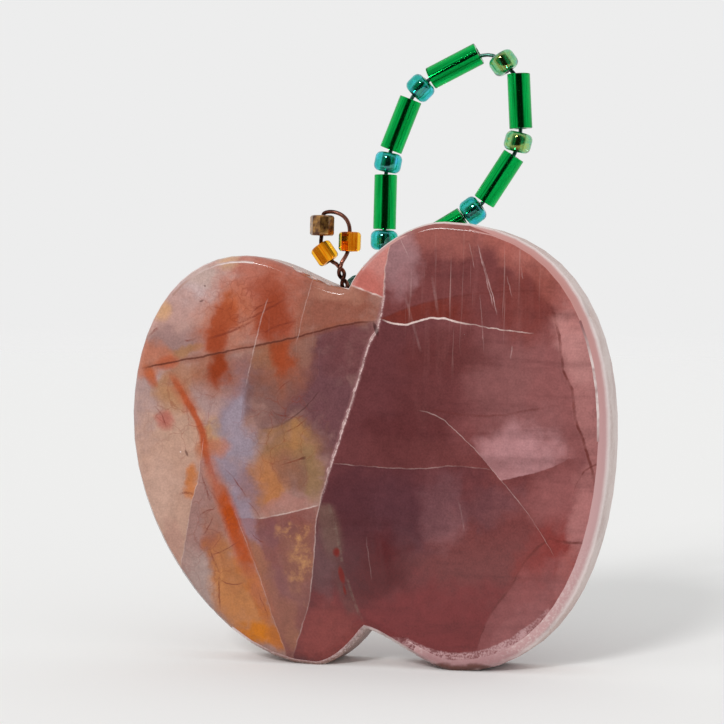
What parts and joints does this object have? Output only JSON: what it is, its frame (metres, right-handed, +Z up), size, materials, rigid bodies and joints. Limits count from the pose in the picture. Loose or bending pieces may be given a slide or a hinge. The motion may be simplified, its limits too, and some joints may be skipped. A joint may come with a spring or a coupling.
{
  "type": "gemstone apple carving",
  "caption": "Slab-cut polished agate apple that stands on two ground feet, with a twisted wire stem and a wire leaf loop threaded with glass beads that spin on the wire.",
  "frame": {"origin": "on the surface that the apple stands on, under the middle of its bounding box", "axes": "+Z up from the feet to the leaf, -Y out of the polished front face, +X to the viewer's right across the face"},
  "size_m": [0.054, 0.016, 0.0694],
  "materials": {
    "agate": "polished faces, frosted sawn rim",
    "copper_wire": "dark oxidised copper wire",
    "green_wire": "green enamelled copper wire",
    "green_glass": "silver-lined green glass tube",
    "iris_glass": "iridescent green glass",
    "amber_glass": "silver-lined amber glass",
    "bronze_glass": "metallic bronze coating on glass",
    "glue": "set clear epoxy"
  },
  "bodies": {
    "apple": {"stone_slab": "agate", "stem_wire": "copper_wire", "stem_glue": "glue", "leaf_wire": "green_wire", "leaf_glue": "glue"},
    "stem_amber_bead_left": {"stem_amber_bead_left": "amber_glass"},
    "stem_bronze_bead": {"stem_bronze_bead": "bronze_glass"},
    "stem_amber_bead_right": {"stem_amber_bead_right": "amber_glass"},
    "leaf_seed_bead_1": {"leaf_seed_bead_1": "iris_glass"},
    "leaf_bugle_bead_1": {"leaf_bugle_bead_1": "green_glass"},
    "leaf_seed_bead_2": {"leaf_seed_bead_2": "iris_glass"},
    "leaf_bugle_bead_2": {"leaf_bugle_bead_2": "green_glass"},
    "leaf_seed_bead_3": {"leaf_seed_bead_3": "iris_glass"},
    "leaf_bugle_bead_3": {"leaf_bugle_bead_3": "green_glass"},
    "leaf_seed_bead_4": {"leaf_seed_bead_4": "iris_glass"},
    "leaf_bugle_bead_4": {"leaf_bugle_bead_4": "green_glass"},
    "leaf_seed_bead_5": {"leaf_seed_bead_5": "iris_glass"},
    "leaf_bugle_bead_5": {"leaf_bugle_bead_5": "green_glass"},
    "leaf_seed_bead_6": {"leaf_seed_bead_6": "iris_glass"},
    "leaf_bugle_bead_6": {"leaf_bugle_bead_6": "green_glass"},
    "leaf_seed_bead_7": {"leaf_seed_bead_7": "iris_glass"}
  },
  "joints": [
    {"name": "stem_amber_left_spin", "type": "hinge", "parent": "apple", "child": "stem_amber_bead_left", "pos_m": [-0.00596, -0.00183, 0.04564], "axis": [-0.5878, 0.0564, 0.807], "continuous": true},
    {"name": "stem_bronze_spin", "type": "hinge", "parent": "apple", "child": "stem_bronze_bead", "pos_m": [-0.00629, -0.00161, 0.04873], "axis": [0, 0.0698, 0.9976], "continuous": true},
    {"name": "stem_amber_right_spin", "type": "hinge", "parent": "apple", "child": "stem_amber_bead_right", "pos_m": [-0.00313, -0.00174, 0.04698], "axis": [0, -0.0698, -0.9976], "continuous": true},
    {"name": "leaf_seed_1_spin", "type": "hinge", "parent": "apple", "child": "leaf_seed_bead_1", "pos_m": [-0.00049, 0.00508, 0.04696], "axis": [0, 0.0698, 0.9976], "continuous": true},
    {"name": "leaf_bugle_1_spin", "type": "hinge", "parent": "apple", "child": "leaf_bugle_bead_1", "pos_m": [-0.00049, 0.00538, 0.05129], "axis": [0, 0.0698, 0.9976], "continuous": true},
    {"name": "leaf_seed_2_spin", "type": "hinge", "parent": "apple", "child": "leaf_seed_bead_2", "pos_m": [-0.00027, 0.0057, 0.05579], "axis": [0.1736, 0.0687, 0.9824], "continuous": true},
    {"name": "leaf_bugle_2_spin", "type": "hinge", "parent": "apple", "child": "leaf_bugle_bead_2", "pos_m": [0.0011, 0.006, 0.0601], "axis": [0.3502, 0.0653, 0.9344], "continuous": true},
    {"name": "leaf_seed_3_spin", "type": "hinge", "parent": "apple", "child": "leaf_seed_bead_3", "pos_m": [0.00325, 0.00629, 0.06427], "axis": [0.6947, 0.0502, 0.7176], "continuous": true},
    {"name": "leaf_bugle_3_spin", "type": "hinge", "parent": "apple", "child": "leaf_bugle_bead_3", "pos_m": [0.00713, 0.00647, 0.0668], "axis": [0.8829, 0.0327, 0.4683], "continuous": true},
    {"name": "leaf_seed_4_spin", "type": "hinge", "parent": "apple", "child": "leaf_seed_bead_4", "pos_m": [0.01272, 0.00649, 0.06721], "axis": [0.5878, -0.0564, -0.807], "continuous": true},
    {"name": "leaf_bugle_4_spin", "type": "hinge", "parent": "apple", "child": "leaf_bugle_bead_4", "pos_m": [0.01466, 0.00619, 0.06291], "axis": [0.0698, -0.0696, -0.9951], "continuous": true},
    {"name": "leaf_seed_5_spin", "type": "hinge", "parent": "apple", "child": "leaf_seed_bead_5", "pos_m": [0.0146, 0.00587, 0.0583], "axis": [-0.2249, -0.068, -0.972], "continuous": true},
    {"name": "leaf_bugle_5_spin", "type": "hinge", "parent": "apple", "child": "leaf_bugle_bead_5", "pos_m": [0.01252, 0.00558, 0.05415], "axis": [-0.5299, -0.0592, -0.846], "continuous": true},
    {"name": "leaf_seed_6_spin", "type": "hinge", "parent": "apple", "child": "leaf_seed_bead_6", "pos_m": [0.00964, 0.00532, 0.05048], "axis": [-0.7986, -0.042, -0.6003], "continuous": true},
    {"name": "leaf_bugle_6_spin", "type": "hinge", "parent": "apple", "child": "leaf_bugle_bead_6", "pos_m": [0.00594, 0.00515, 0.04804], "axis": [-0.848, -0.037, -0.5286], "continuous": true},
    {"name": "leaf_seed_7_spin", "type": "hinge", "parent": "apple", "child": "leaf_seed_bead_7", "pos_m": [0.00291, 0.00481, 0.04312], "axis": [-0.7071, -0.0493, -0.7054], "continuous": true}
  ]
}
